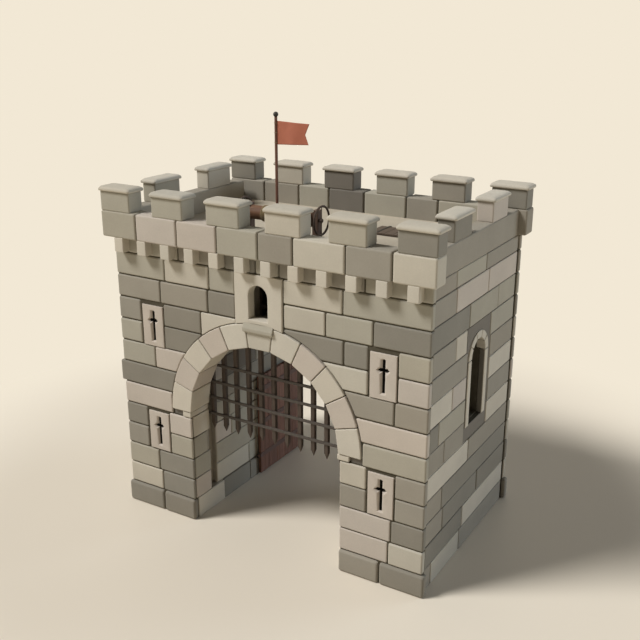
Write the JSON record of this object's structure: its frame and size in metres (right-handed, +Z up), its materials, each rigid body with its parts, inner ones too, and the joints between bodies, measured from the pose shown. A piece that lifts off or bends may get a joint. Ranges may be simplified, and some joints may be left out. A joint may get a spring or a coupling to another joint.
{
  "type": "town gatehouse",
  "caption": "Small square stone gatehouse with an arched passage, a portcullis, two gate leaves, battlements, a roof windlass, a roof hatch and a flag.",
  "frame": {"origin": "centre of the footprint at ground level", "axes": "+Z up; the front with the portcullis faces -Y; +X to the right of a person who stands on the roof and looks out over the rear"},
  "size_m": [6.29, 4.116, 7.34],
  "materials": {
    "wall_stone": "matte",
    "pale_stone": "matte",
    "oak": "matte",
    "iron": "satin",
    "hemp_rope": "matte",
    "flag_cloth": "matte"
  },
  "bodies": {
    "gatehouse": {"front_pier_left": "wall_stone", "front_pier_right": "wall_stone", "front_spandrel": "wall_stone", "rear_pier_left": "wall_stone", "rear_pier_right": "wall_stone", "rear_spandrel": "wall_stone", "front_arch_ring": "pale_stone", "rear_arch_ring": "pale_stone", "arch_imposts": "pale_stone", "niche_panel": "pale_stone", "niche_sill": "pale_stone", "side_wall_left": "wall_stone", "side_wall_right": "wall_stone", "window_surrounds": "pale_stone", "passage_wall_left": "wall_stone", "passage_wall_right": "wall_stone", "inner_floors": "oak", "roof_deck": "wall_stone", "front_parapet": "wall_stone", "rear_parapet": "wall_stone", "side_parapets": "wall_stone", "front_merlons": "wall_stone", "rear_merlons": "wall_stone", "side_merlons": "wall_stone", "merlon_caps": "pale_stone", "front_corbels": "pale_stone", "rear_corbels": "pale_stone", "slit_plates_front": "pale_stone", "slit_plates_rear": "pale_stone", "gate_pintles": "iron", "windlass_posts": "oak", "hatch_frame": "oak", "hatch_pins": "iron", "flagpole": "oak", "finial": "iron", "flag": "flag_cloth"},
    "gate_left": {"gate_leaf_left": "oak", "gate_straps_left": "iron"},
    "gate_right": {"gate_leaf_right": "oak", "gate_straps_right": "iron"},
    "portcullis": {"portcullis_bars": "oak", "portcullis_rails": "iron", "lift_ropes": "hemp_rope"},
    "windlass": {"windlass_drum": "oak", "windlass_wheels": "iron", "rope_windings": "hemp_rope"},
    "hatch": {"hatch_lid": "oak", "hatch_straps": "iron"}
  },
  "joints": [
    {"name": "portcullis_lift", "type": "slide", "parent": "gatehouse", "child": "portcullis", "axis": [0, 0, 1], "range_m": [-1.5, 0.08], "deforming": ["lift_ropes"]},
    {"name": "windlass_turn", "type": "hinge", "parent": "gatehouse", "child": "windlass", "pos_m": [0, -1.179, 5.69], "axis": [1, 0, 0], "range_deg": [-37, 688]},
    {"name": "gate_left_swing", "type": "hinge", "parent": "gatehouse", "child": "gate_left", "pos_m": [-1.478, 0.122, 1], "axis": [0, 0, -1], "range_deg": [0, 90]},
    {"name": "gate_right_swing", "type": "hinge", "parent": "gatehouse", "child": "gate_right", "pos_m": [1.478, 0.122, 1], "axis": [0, 0, 1], "range_deg": [0, 90]},
    {"name": "hatch_swing", "type": "hinge", "parent": "gatehouse", "child": "hatch", "pos_m": [1.2175, 0.761, 5.238], "axis": [-1, 0, 0], "range_deg": [0, 100]}
  ],
  "couplings": [
    {"joint": "windlass_turn", "follows": "portcullis_lift", "rad_per_m": -8}
  ]
}
